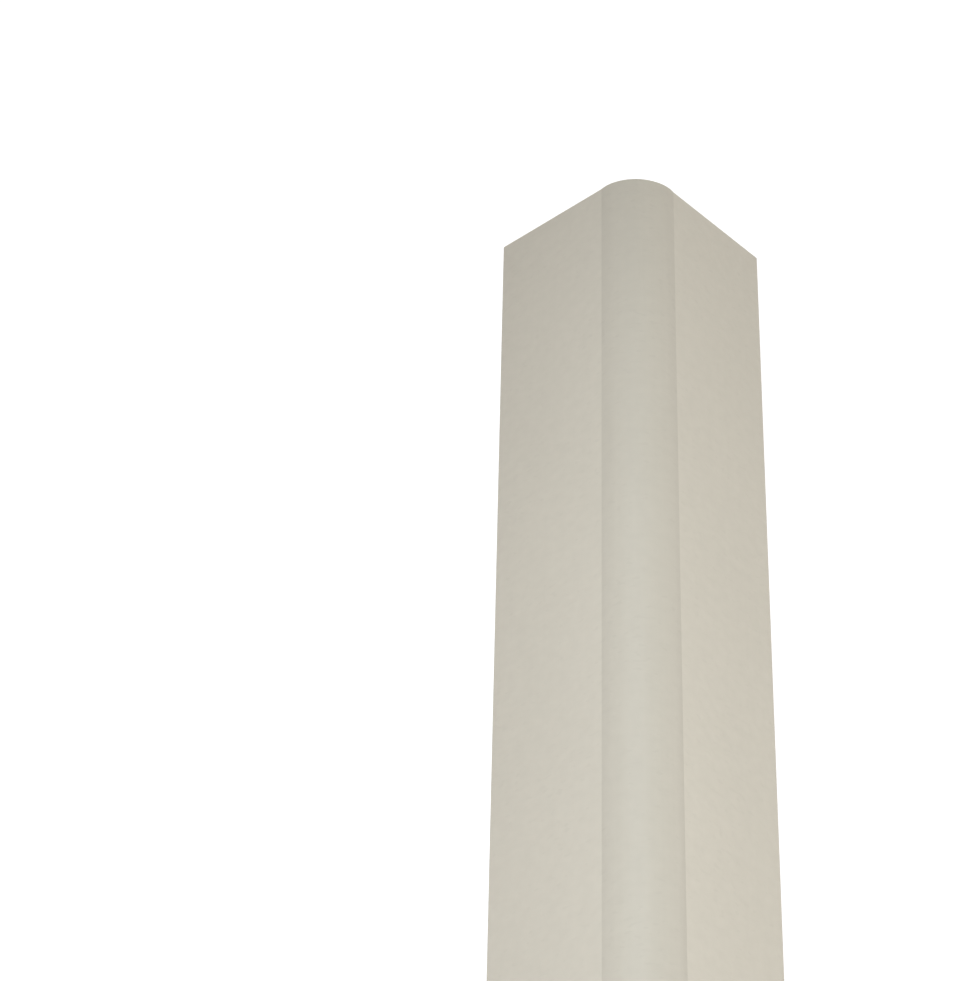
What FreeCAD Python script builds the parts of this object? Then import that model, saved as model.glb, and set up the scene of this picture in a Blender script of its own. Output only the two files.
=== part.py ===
"""Corner guard moulding: one extruded length of rigid vinyl that wraps a wall's outside corner.

Millimetres, +Z up. The guard lies nose up on the edges of its two wings, as it would on a
floor. +Y runs along the stock, and the origin is the centre of the footprint on the floor.
"""
import FreeCAD, Part
import math
import os

# Stock
stock_length = 1219.2
corner_angle = 90.0

# Wings, measured from the sharp corner that their outer faces would meet in
wing_width = 76.2
wall = 2.0
edge_radius = 0.7

# Nose: a broad crown between two tighter shoulders, which turn a little past the wings'
# faces and so meet them in a crisp crease
crown_radius = 20.5
crown_half_angle = 30.0
shoulder_radius = 14.6
shoulder_overturn = 10.0

# Facing angles are measured from straight up, out to the side that the wing lies on
half_corner = math.radians(corner_angle / 2)
wing_facing = math.pi / 2 - half_corner
edge_facing = wing_facing + math.pi / 2
back_facing = wing_facing + math.pi
shoulder_start = math.radians(crown_half_angle)
shoulder_end = wing_facing + math.radians(shoulder_overturn)

# A wing's edge is rounded on both sides, so each round takes less than half the wall
edge_round = min(edge_radius, 0.45 * wall)

# Height of the sharp corner when the rounded edges of the wings lie on the floor
corner_height = (
    (wing_width - edge_round) * math.cos(half_corner)
    + (wall - edge_round) * math.sin(half_corner)
    + edge_round
)

# The crown's centre is as deep below the sharp corner as it takes for the shoulders to end
# on the wings' faces
radius_step = crown_radius - shoulder_radius
crown_depth = (
    radius_step * math.cos(wing_facing - shoulder_start)
    + shoulder_radius * math.cos(shoulder_end - wing_facing)
) / math.sin(half_corner)

# The back of the nose is one arc, tangent to the backs of the wings, and a wall under the crown
back_corner_depth = wall / math.sin(half_corner)
back_crest_depth = crown_depth - crown_radius + wall
back_radius = (back_crest_depth - back_corner_depth) / (1 / math.sin(half_corner) - 1)
back_tangent = (wall + back_radius) / math.tan(half_corner)


def below_corner(depth):
    """A point under the sharp corner, at the near end of the stock."""
    return FreeCAD.Vector(0, -stock_length / 2, corner_height - depth)


def at_wing(side, along, rise):
    """A point by its distance along a wing from the sharp corner and its rise off the outer face."""
    x = along * math.sin(half_corner) + rise * math.cos(half_corner)
    drop = along * math.cos(half_corner) - rise * math.sin(half_corner)
    return below_corner(drop) + FreeCAD.Vector(side * x, 0, 0)


def swing(side, centre, radius, facing):
    """The point of a circle that faces a given way."""
    return centre + FreeCAD.Vector(side * radius * math.sin(facing), 0, radius * math.cos(facing))


def arc(side, centre, radius, start, end):
    """A circular edge between two facing angles."""
    points = [swing(side, centre, radius, facing) for facing in (start, (start + end) / 2, end)]
    return Part.Arc(*points).toShape()


def line(start, end):
    return Part.LineSegment(start, end).toShape()


def nose_half(side):
    """One half of the nose: crown and shoulder outside, and the arc of its back."""
    crown_centre = below_corner(crown_depth)
    shoulder_centre = swing(side, crown_centre, radius_step, shoulder_start)
    back_centre = below_corner(back_corner_depth + back_radius / math.sin(half_corner))
    crease = swing(side, shoulder_centre, shoulder_radius, shoulder_end)
    edges = [
        arc(side, crown_centre, crown_radius, 0, shoulder_start),
        arc(side, shoulder_centre, shoulder_radius, shoulder_start, shoulder_end),
        arc(side, back_centre, back_radius, 0, wing_facing),
    ]
    return edges, crease


def wing(side, crease):
    """One wing: its outer face from the crease, its rounded edge, and its back."""
    edge_start = wing_width - edge_round
    outer_centre = at_wing(side, edge_start, -edge_round)
    inner_centre = at_wing(side, edge_start, edge_round - wall)
    return [
        line(crease, at_wing(side, edge_start, 0)),
        arc(side, outer_centre, edge_round, wing_facing, edge_facing),
        line(at_wing(side, wing_width, -edge_round), at_wing(side, wing_width, edge_round - wall)),
        arc(side, inner_centre, edge_round, edge_facing, back_facing),
        line(at_wing(side, edge_start, -wall), at_wing(side, back_tangent, -wall)),
    ]


def corner_guard():
    """The section, pushed along the length of the stock and cut square at both ends."""
    edges = []
    for side in (-1, 1):
        nose_edges, crease = nose_half(side)
        edges += nose_edges + wing(side, crease)
    outline = Part.Wire(Part.__sortEdges__(edges))
    return Part.Face(outline).extrude(FreeCAD.Vector(0, stock_length, 0))


os.makedirs("parts", exist_ok=True)
corner_guard().exportStep("parts/corner_guard.step")
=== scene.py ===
"""Looks of the corner guard moulding: its vinyl surfaces, a pale floor, soft lamps and the camera.

Metres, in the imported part's frame: +Z up, +Y along the stock, nose up on the floor.
"""
import bpy
import math
import numpy as np
from mathutils import Matrix, Vector


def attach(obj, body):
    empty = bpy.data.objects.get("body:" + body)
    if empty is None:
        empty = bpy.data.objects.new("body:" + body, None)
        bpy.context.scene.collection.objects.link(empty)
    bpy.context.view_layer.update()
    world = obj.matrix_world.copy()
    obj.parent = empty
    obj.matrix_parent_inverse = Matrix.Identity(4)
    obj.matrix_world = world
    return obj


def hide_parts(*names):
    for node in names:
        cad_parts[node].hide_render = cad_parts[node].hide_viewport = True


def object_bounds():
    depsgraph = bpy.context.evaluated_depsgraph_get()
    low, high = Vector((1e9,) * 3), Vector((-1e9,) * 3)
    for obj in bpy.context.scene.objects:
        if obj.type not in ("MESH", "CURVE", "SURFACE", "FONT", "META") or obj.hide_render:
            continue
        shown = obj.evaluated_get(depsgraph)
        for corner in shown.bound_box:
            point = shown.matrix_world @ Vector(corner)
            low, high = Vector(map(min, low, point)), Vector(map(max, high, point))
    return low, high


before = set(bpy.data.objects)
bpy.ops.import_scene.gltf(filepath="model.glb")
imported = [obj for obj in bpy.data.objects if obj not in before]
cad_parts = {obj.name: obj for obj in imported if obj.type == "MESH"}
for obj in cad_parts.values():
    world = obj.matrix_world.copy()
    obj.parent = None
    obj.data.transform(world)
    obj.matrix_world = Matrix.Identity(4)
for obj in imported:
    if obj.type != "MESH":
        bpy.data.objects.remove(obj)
cad_low, cad_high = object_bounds()

# Section of the guard. Facing angles are measured from straight up, out to the right
WING_WIDTH = 0.0762
WALL = 0.002
EDGE_ROUND = 0.0007
CROWN_RADIUS = 0.0205
SHOULDER_RADIUS = 0.0146
SHOULDER_START = math.radians(30)
WING_FACING = math.radians(45)
SHOULDER_END = math.radians(55)
EDGE_FACING = math.radians(135)
BACK_FACING = math.radians(225)

# Height of the sharp corner that the outer faces of the wings would meet in
CORNER_HEIGHT = (WING_WIDTH - EDGE_ROUND + WALL - EDGE_ROUND) * math.sin(WING_FACING) + EDGE_ROUND

# Mesh steps round the section and along the stock
CROWN_STEPS = 12
SHOULDER_STEPS = 10
WING_STEPS = 28
ROUND_STEPS = 5
RING_STEP = 0.008

# The saw leaves an eased edge, and the vinyl cools with a faint ripple, a sum of waves of so
# many radians a metre across and along, which fades near the wings' edges
END_EASE = 0.00015
RIPPLE_DEPTH = 0.00005
RIPPLE_WAVES = 7
RIPPLE_FADE = 0.01
RIPPLE_ACROSS = (60.0, 180.0)
RIPPLE_ALONG = (15.0, 70.0)
SEED = 11

# Material slots of the guard, and its texture map: metres round the section and along it, with
# the back set off from the outside
WING, NOSE, BACK, SAWN = range(4)
SKIN_MAP = "skin"
BACK_OFFSET = 0.3

# Linear colour of the vinyl, and how far its tone and gloss stray
VINYL = (0.586, 0.552, 0.477)
TONE_SPREAD = 0.03
ROUGHNESS_SPREAD = 0.05

# Noises: cells a metre across and along the stock, and detail. Most of each lies in one range
CLOUDS = ((14, 9), 3)
DRAW_LINES = ((420, 5), 2)
MOTTLE = ((180, 240), 1)
PEBBLES = ((900, 1100), 2)
SAW_MARKS = ((2500, 120), 2)
GROUND = ((60, 60), 3)
GLOSS_PATCHES = ((700, 500), 2)
NOISE_RANGE = (0.3, 0.7)

# Finishes in the order of the slots: name, shade, noises with their shares of the tone, noises
# with their heights in metres, roughness, and whether dashes show on it
FINISHES = (
    ("vinyl_wing", 1.0, ((*CLOUDS, 0.4), (*MOTTLE, 0.5), (*DRAW_LINES, 0.1)),
     ((*MOTTLE, 2.5e-4), (*PEBBLES, 4e-6)), 0.5, True),
    ("vinyl_nose", 0.895, ((*CLOUDS, 0.4), (*MOTTLE, 0.4), (*DRAW_LINES, 0.2)),
     ((*MOTTLE, 2e-4), (*PEBBLES, 3e-6), (*DRAW_LINES, 6e-6)), 0.54, True),
    ("vinyl_back", 0.97, ((*CLOUDS, 0.5), (*DRAW_LINES, 0.5)),
     ((*DRAW_LINES, 1.5e-5), (*GROUND, 3e-5)), 0.58, False),
    ("vinyl_sawn", 1.04, ((*GROUND, 0.4), (*SAW_MARKS, 0.6)),
     ((*SAW_MARKS, 2e-5), (*PEBBLES, 1e-5)), 0.68, False),
)

# Sparse short dashes across the stock: a fine noise, gathered in patches by a coarse one. Only
# where their sum is low does it show, as a dent with painted shade that darkens the colour over it
DASH_NOISE = (((280, 560), 0, 1), ((35, 22), 1, 0.4))
DASH_RANGE = (0.5, 0.4)
# Painted shade: how much darker the colour is over each dash's dent
DASH_PAINTED_SHADE = -0.22
DASH_DEPTH = -1.5e-5

# The floor's light for the guard, and what the camera sees of it: a white glow and the part
# that a shadow can take away
FLOOR_REACH = 6.0
FLOOR_BOUNCE = 0.55
FLOOR_SHADOW = 0.3
FLOOR_GLOW = 0.91

# Even light from all round, a little warm
WORLD_LIGHT = 0.34
WORLD_TINT = (1.0, 0.95, 0.885)

# Strip lamps along the guard, all facing its axis: name, tilt from straight up, distance,
# shift along, watts and colour
LAMP_LENGTH = 1.3
LAMP_WIDTH = 0.12
AXIS_HEIGHT = 0.03
STRIPS = (
    ("top_strip", -10, 0.28, 0, 1.86, (0.90, 0.945, 0.97)),
    ("left_strip", -80, 0.40, 0, 0.50, (1.0, 0.965, 0.99)),
    ("right_strip", 80, 0.75, 0.2, 2.68, (1.0, 0.965, 0.91)),
)

# A low panel faces each sawn end: name and direction along the guard
PANEL_REACH = 0.35
PANEL_HEIGHT = 0.03
PANEL_SIZE = 0.05
PANEL_POWER = 0.35
PANELS = (("near_panel", -1), ("far_panel", 1))

# The camera, from the photograph's outline: its angles, and how far the sharp corner of the
# guard's far end lies to its right, above it and behind it
PICTURE_HEIGHT = 981
FOCAL_PIXELS = 3330.4
SENSOR = 36.0
CLIP_START = 0.01
CAMERA_TILT = math.radians(37.485)
CAMERA_YAW = math.radians(-1.520)
CAMERA_ROLL = math.radians(1.452)
CORNER_IN_VIEW = (0.06161, 0.13324, -1.36566)


def facing_vector(facing):
    """Unit vector (x, z) of a facing angle."""
    return np.array([math.sin(facing), math.cos(facing)])


def arc(centre, radius, start, end, steps, inward=False):
    """Rows of x, z and normal along an arc of the right-hand half."""
    rows = []
    for facing in np.linspace(start, end, steps + 1):
        out = facing_vector(facing)
        rows.append([*(centre + radius * out), *(-out if inward else out)])
    return rows


def straight(start, end, facing, steps):
    """Rows of x, z and normal along a line, without its first point."""
    normal = facing_vector(facing)
    shares = np.linspace(0, 1, steps + 1)[1:]
    return [[*(start + (end - start) * share), *normal] for share in shares]


def outside_half(edge_start):
    """Right-hand half of the outside: crown, shoulder, wing and half of the wing's round edge."""
    crown_centre = np.array([0, cad_high.z - CROWN_RADIUS])
    shoulder_centre = crown_centre + facing_vector(SHOULDER_START) * (CROWN_RADIUS - SHOULDER_RADIUS)
    round_centre = edge_start - facing_vector(WING_FACING) * EDGE_ROUND
    rows = arc(crown_centre, CROWN_RADIUS, 0, SHOULDER_START, CROWN_STEPS)
    rows += arc(shoulder_centre, SHOULDER_RADIUS, SHOULDER_START, SHOULDER_END, SHOULDER_STEPS)[1:]
    rows += straight(rows[-1][:2], edge_start, WING_FACING, WING_STEPS)
    rows += arc(round_centre, EDGE_ROUND, WING_FACING, EDGE_FACING, ROUND_STEPS)[1:]
    return rows


def back_half(edge_start):
    """Right-hand half of the back: one arc, the wing and the other half of its round edge."""
    slope = math.sin(WING_FACING)
    crest = cad_high.z - WALL
    radius = (CORNER_HEIGHT - WALL / slope - crest) / (1 / slope - 1)
    centre = np.array([0, crest - radius])
    outward = facing_vector(WING_FACING)
    wing_end = edge_start - outward * WALL
    round_centre = wing_end + outward * EDGE_ROUND
    rows = arc(centre, radius, 0, WING_FACING, CROWN_STEPS + SHOULDER_STEPS, inward=True)
    rows += straight(rows[-1][:2], wing_end, BACK_FACING, WING_STEPS)
    rows += arc(round_centre, EDGE_ROUND, BACK_FACING, EDGE_FACING, ROUND_STEPS)[1:]
    return rows


def both_sides(half):
    """A half section and its mirror image, from the left wing's edge to the right wing's."""
    half = np.array(half)
    left = half[:0:-1] * (-1, 1, -1, 1)
    return np.vstack([left, half])


def section():
    """Outside and back of the guard as rows of x, z and normal, as many rows in each."""
    corner = np.array([0, CORNER_HEIGHT])
    edge_start = corner + facing_vector(EDGE_FACING) * (WING_WIDTH - EDGE_ROUND)
    return both_sides(outside_half(edge_start)), both_sides(back_half(edge_start))


def distance_round(rows):
    """Distance along a section from its crest, negative on the left."""
    steps = np.linalg.norm(np.diff(rows[:, :2], axis=0), axis=1)
    distance = np.concatenate([[0], np.cumsum(steps)])
    return distance - distance[len(rows) // 2]


def ripple(across, along):
    """Depth of the cooling ripple, from nothing to RIPPLE_DEPTH."""
    draw = np.random.default_rng(SEED)
    total = np.zeros(np.broadcast(across, along).shape)
    for _ in range(RIPPLE_WAVES):
        turn = draw.uniform(*RIPPLE_ACROSS) * across + draw.uniform(*RIPPLE_ALONG) * along
        total += np.sin(turn + draw.uniform(0, 2 * math.pi))
    return RIPPLE_DEPTH * (0.5 + 0.5 * total / RIPPLE_WAVES)


def guard_points():
    """Rings of points along the guard: their places, distance round the section and distance along."""
    outside, back = section()
    loop = np.vstack([outside, back[::-1]])
    across = np.concatenate([distance_round(outside), BACK_OFFSET + distance_round(back)[::-1]])
    rings = round((cad_high.y - cad_low.y) / RING_STEP)
    along = np.linspace(cad_low.y + END_EASE, cad_high.y - END_EASE, rings)
    along = np.concatenate([[cad_low.y], along, [cad_high.y]])

    # The ripple is on the outside, and dies out at the edges, which stand on the floor
    count = len(outside)
    reach = across[count - 1]
    fade = np.clip((reach - np.abs(across[:count])) / RIPPLE_FADE, 0, 1)
    inset = np.zeros((len(along), len(loop)))
    inset[:, :count] = fade * ripple(across[None, :count], along[:, None])
    inset[[0, -1]] += END_EASE
    places = np.empty((len(along), len(loop), 3))
    places[:, :, 0] = loop[:, 0] - inset * loop[:, 2]
    places[:, :, 1] = along[:, None]
    places[:, :, 2] = loop[:, 1] - inset * loop[:, 3]
    return places, across, along


def skin_faces(places, across, along, creases):
    """The skin, one face for each column between two rings, with its map and its finishes."""
    rings, columns = places.shape[:2]
    count = columns // 2
    column = np.arange(columns)
    following = np.roll(column, -1)
    start = np.arange(rings - 1)[:, None] * columns
    corners = (column, following, following + columns, column + columns)
    faces = np.stack([start + corner for corner in corners], -1)

    width = np.linalg.norm(places[1, following] - places[1], axis=1)
    ahead = across + np.where(column < count, width, -width)
    low, high = along[:-1, None], along[1:, None]
    spots = ((across, low), (ahead, low), (ahead, high), (across, high))
    skin_map = np.stack([np.stack(np.broadcast_arrays(*spot), -1) for spot in spots], -2)

    finishes = np.where(column < count - 1, WING, BACK)
    finishes[creases[0] : creases[1]] = NOSE
    finishes = np.tile(finishes, (rings - 1, 1))

    # The eased edges at both ends are sawn
    finishes[[0, -1]] = SAWN
    return faces.reshape(-1, 4), skin_map.ravel(), finishes.ravel()


def end_faces(places):
    """A ladder of faces across each sawn end, from the outside to the back, with their map."""
    rings, columns = places.shape[:2]
    rung = np.arange(columns // 2 - 1)
    near_end = np.stack([rung, columns - 1 - rung, columns - 2 - rung, rung + 1], -1)
    far_end = near_end[:, ::-1] + (rings - 1) * columns
    faces = np.vstack([near_end, far_end])
    ends_map = places.reshape(-1, 3)[faces][:, :, [0, 2]]
    return faces, ends_map.ravel()


def guard_mesh():
    """The whole guard as one mesh: its skin, ring by ring, and its two sawn ends."""
    places, across, along = guard_points()
    rings, columns = places.shape[:2]

    # The outside has the first half of the columns, and its crest is in their middle
    crest = columns // 4
    nose_steps = CROWN_STEPS + SHOULDER_STEPS
    creases = (crest - nose_steps, crest + nose_steps)
    skin, skin_map, finishes = skin_faces(places, across, along, creases)
    ends, ends_map = end_faces(places)

    mesh = bpy.data.meshes.new("corner_guard_skin")
    faces = np.vstack([skin, ends])
    mesh.from_pydata(places.reshape(-1, 3).tolist(), [], faces.tolist())
    mesh_map = mesh.uv_layers.new(name=SKIN_MAP)
    mesh_map.uv.foreach_set("vector", np.concatenate([skin_map, ends_map]))
    slots = np.concatenate([finishes, np.full(len(ends), SAWN)])
    mesh.polygons.foreach_set("material_index", slots.astype(np.int32))
    mark_sharp(mesh, rings, columns, creases)
    mesh.validate()
    return mesh


def mark_sharp(mesh, rings, columns, creases):
    """Sharp edges along the two creases and round the eased ends; the rest is shaded smooth."""
    ends = np.empty(len(mesh.edges) * 2, np.int32)
    mesh.edges.foreach_get("vertices", ends)
    ring, column = np.divmod(ends.reshape(-1, 2), columns)
    along_crease = (column[:, 0] == column[:, 1]) & np.isin(column[:, 0], creases)
    round_end = (ring[:, 0] == ring[:, 1]) & np.isin(ring[:, 0], (0, 1, rings - 2, rings - 1))
    mesh.shade_smooth()
    sharp = mesh.attributes.new("sharp_edge", "BOOLEAN", "EDGE")
    sharp.data.foreach_set("value", along_crease | round_end)


def link(tree, output, socket):
    """Joins a node's output to a socket."""
    tree.links.new(output, socket)


def noise(tree, scale, detail):
    """Noise on the skin map, which is stretched to the noise's cells a metre across and along."""
    skin = tree.nodes.new("ShaderNodeUVMap")
    skin.uv_map = SKIN_MAP
    stretch = tree.nodes.new("ShaderNodeMapping")
    stretch.inputs["Scale"].default_value = (*scale, 1)
    cells = tree.nodes.new("ShaderNodeTexNoise")
    cells.inputs["Scale"].default_value = 1
    cells.inputs["Detail"].default_value = detail
    link(tree, skin.outputs["UV"], stretch.inputs["Vector"])
    link(tree, stretch.outputs["Vector"], cells.inputs["Vector"])
    return cells.outputs["Fac"]


def weighted(tree, parts):
    """Sum of outputs, each times its weight."""
    total = None
    for output, weight in parts:
        step = tree.nodes.new("ShaderNodeMath")
        step.operation = "MULTIPLY_ADD"
        step.inputs[1].default_value = weight
        step.inputs[2].default_value = 0
        link(tree, output, step.inputs[0])
        if total:
            link(tree, total, step.inputs[2])
        total = step.outputs[0]
    return total


def brought(tree, output, source, target):
    """An output brought from one range to another, and held inside it."""
    spread = tree.nodes.new("ShaderNodeMapRange")
    spread.inputs["From Min"].default_value, spread.inputs["From Max"].default_value = source
    spread.inputs["To Min"].default_value, spread.inputs["To Max"].default_value = target
    link(tree, output, spread.inputs["Value"])
    return spread.outputs["Result"]


def layers(tree, rows):
    """Noises with their amounts; each row is cells a metre, detail and amount."""
    return [(noise(tree, scale, detail), amount) for scale, detail, amount in rows]


def vinyl(name, shade, tones_and_painted_shade, relief, roughness, dashed):
    """Rigid vinyl, whose colour varies by its tone noises and by the dashes' painted shade, and whose
    relief its height.
    """
    material = bpy.data.materials.new(name)
    material.use_nodes = True
    tree = material.node_tree
    surface = tree.nodes["Principled BSDF"]

    tones_and_painted_shade = layers(tree, tones_and_painted_shade)
    relief = layers(tree, relief)
    if dashed:
        dashes = brought(tree, weighted(tree, layers(tree, DASH_NOISE)), DASH_RANGE, (0, 1))
        # The dashes' darker colour is painted shade over their dents
        tones_and_painted_shade.append((dashes, DASH_PAINTED_SHADE))
        relief.append((dashes, DASH_DEPTH))

    colour = tree.nodes.new("ShaderNodeMix")
    colour.data_type = "RGBA"
    colour.inputs["A"].default_value = (*[channel * shade * (1 - TONE_SPREAD) for channel in VINYL], 1)
    colour.inputs["B"].default_value = (*[channel * shade * (1 + TONE_SPREAD) for channel in VINYL], 1)
    link(tree, brought(tree, weighted(tree, tones_and_painted_shade), NOISE_RANGE, (0, 1)), colour.inputs["Factor"])
    link(tree, colour.outputs["Result"], surface.inputs["Base Color"])

    # The relief's heights are in metres already
    bump = tree.nodes.new("ShaderNodeBump")
    bump.inputs["Distance"].default_value = 1
    link(tree, weighted(tree, relief), bump.inputs["Height"])
    link(tree, bump.outputs["Normal"], surface.inputs["Normal"])

    gloss_range = (roughness - ROUGHNESS_SPREAD, roughness + ROUGHNESS_SPREAD)
    gloss = brought(tree, noise(tree, *GLOSS_PATCHES), NOISE_RANGE, gloss_range)
    link(tree, gloss, surface.inputs["Roughness"])
    return material


def floor_material():
    """Pale floor that the camera sees as white, with a soft shadow under the guard."""
    material = bpy.data.materials.new("floor_white")
    material.use_nodes = True
    tree = material.node_tree
    tree.nodes.remove(tree.nodes["Principled BSDF"])
    bounce = tree.nodes.new("ShaderNodeBsdfDiffuse")
    bounce.inputs["Color"].default_value = (FLOOR_BOUNCE,) * 3 + (1,)
    shadow = tree.nodes.new("ShaderNodeBsdfDiffuse")
    shadow.inputs["Color"].default_value = (FLOOR_SHADOW,) * 3 + (1,)
    glow = tree.nodes.new("ShaderNodeEmission")
    glow.inputs["Strength"].default_value = FLOOR_GLOW
    seen = tree.nodes.new("ShaderNodeAddShader")
    link(tree, shadow.outputs["BSDF"], seen.inputs[0])
    link(tree, glow.outputs["Emission"], seen.inputs[1])
    choice = tree.nodes.new("ShaderNodeMixShader")
    link(tree, looking(tree), choice.inputs["Fac"])
    link(tree, bounce.outputs["BSDF"], choice.inputs[1])
    link(tree, seen.outputs["Shader"], choice.inputs[2])
    link(tree, choice.outputs["Shader"], tree.nodes["Material Output"].inputs["Surface"])
    return material


def looking(tree):
    """1 for a ray that shows something: from the camera, a reflection or glass."""
    path = tree.nodes.new("ShaderNodeLightPath")
    kinds = ("Is Camera Ray", "Is Glossy Ray", "Is Transmission Ray")
    total = weighted(tree, [(path.outputs[kind], 1) for kind in kinds])
    capped = tree.nodes.new("ShaderNodeClamp")
    link(tree, total, capped.inputs["Value"])
    return capped.outputs["Result"]


def add_floor():
    """The square floor that the guard lies on."""
    mesh = bpy.data.meshes.new("floor")
    corners = [(x, y, 0) for x, y in ((-1, -1), (1, -1), (1, 1), (-1, 1))]
    mesh.from_pydata([tuple(FLOOR_REACH * c for c in corner) for corner in corners], [], [(0, 1, 2, 3)])
    mesh.materials.append(floor_material())
    floor = bpy.data.objects.new("floor", mesh)
    bpy.context.collection.objects.link(floor)


def add_world():
    """White to look at, and a faint even light."""
    world = bpy.data.worlds.new("studio")
    world.use_nodes = True
    tree = world.node_tree
    light = tree.nodes["Background"]
    light.inputs["Strength"].default_value = WORLD_LIGHT
    light.inputs["Color"].default_value = (*WORLD_TINT, 1)
    white = tree.nodes.new("ShaderNodeBackground")
    white.inputs["Color"].default_value = (1, 1, 1, 1)
    choice = tree.nodes.new("ShaderNodeMixShader")
    link(tree, looking(tree), choice.inputs["Fac"])
    link(tree, light.outputs["Background"], choice.inputs[1])
    link(tree, white.outputs["Background"], choice.inputs[2])
    link(tree, choice.outputs["Shader"], tree.nodes["World Output"].inputs["Surface"])
    bpy.context.scene.world = world


def add_lamp(name, place, turn, size, power, colour):
    """A soft area lamp, which shines down unless it is turned."""
    lamp = bpy.data.lights.new(name, "AREA")
    lamp.shape = "RECTANGLE"
    lamp.size, lamp.size_y = size
    lamp.energy = power
    lamp.color = colour
    holder = bpy.data.objects.new(name, lamp)
    holder.location = place
    holder.rotation_euler = turn
    holder.visible_camera = False
    bpy.context.collection.objects.link(holder)


def add_strip(name, tilt, reach, along, power, colour):
    """A strip lamp along the guard, tilted about the guard's axis."""
    angle = math.radians(tilt)
    place = (reach * math.sin(angle), along, AXIS_HEIGHT + reach * math.cos(angle))
    add_lamp(name, place, (0, angle, 0), (LAMP_WIDTH, LAMP_LENGTH), power, colour)


def add_panel(name, direction):
    """A small lamp beyond one end of the guard, facing it."""
    place = (0, direction * (cad_high.y + PANEL_REACH), PANEL_HEIGHT)
    turn = (-direction * math.pi / 2, 0, 0)
    add_lamp(name, place, turn, (PANEL_SIZE, PANEL_SIZE), PANEL_POWER, (1, 1, 1))


def add_camera():
    """The photograph's camera: above the near part of the guard, looking down its length."""
    back = Vector((
        math.sin(CAMERA_YAW) * math.cos(CAMERA_TILT),
        -math.sin(CAMERA_TILT),
        math.cos(CAMERA_YAW) * math.cos(CAMERA_TILT),
    ))
    level = Vector((math.cos(CAMERA_YAW), 0, -math.sin(CAMERA_YAW)))
    upright = back.cross(level)
    right = level * math.cos(CAMERA_ROLL) + upright * math.sin(CAMERA_ROLL)
    up = upright * math.cos(CAMERA_ROLL) - level * math.sin(CAMERA_ROLL)
    corner = Vector((0, cad_high.y, CORNER_HEIGHT))
    place = corner - right * CORNER_IN_VIEW[0] - up * CORNER_IN_VIEW[1] - back * CORNER_IN_VIEW[2]

    camera = bpy.data.cameras.new("camera")
    camera.sensor_width = SENSOR
    camera.lens = FOCAL_PIXELS / PICTURE_HEIGHT * SENSOR
    camera.clip_start = CLIP_START
    holder = bpy.data.objects.new("camera", camera)
    holder.matrix_world = Matrix.LocRotScale(place, Matrix((right, up, back)).transposed(), None)
    bpy.context.collection.objects.link(holder)
    bpy.context.scene.camera = holder


def add_guard():
    """The guard in its finishes, which rides on the one body and stands for the CAD solid."""
    mesh = guard_mesh()
    for finish in FINISHES:
        mesh.materials.append(vinyl(*finish))
    piece = bpy.data.objects.new("guard_length", mesh)
    bpy.context.collection.objects.link(piece)
    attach(piece, "root")
    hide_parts("corner_guard")


bpy.context.scene.view_settings.view_transform = "Standard"
add_guard()
add_floor()
add_world()
for strip in STRIPS:
    add_strip(*strip)
for panel in PANELS:
    add_panel(*panel)
add_camera()
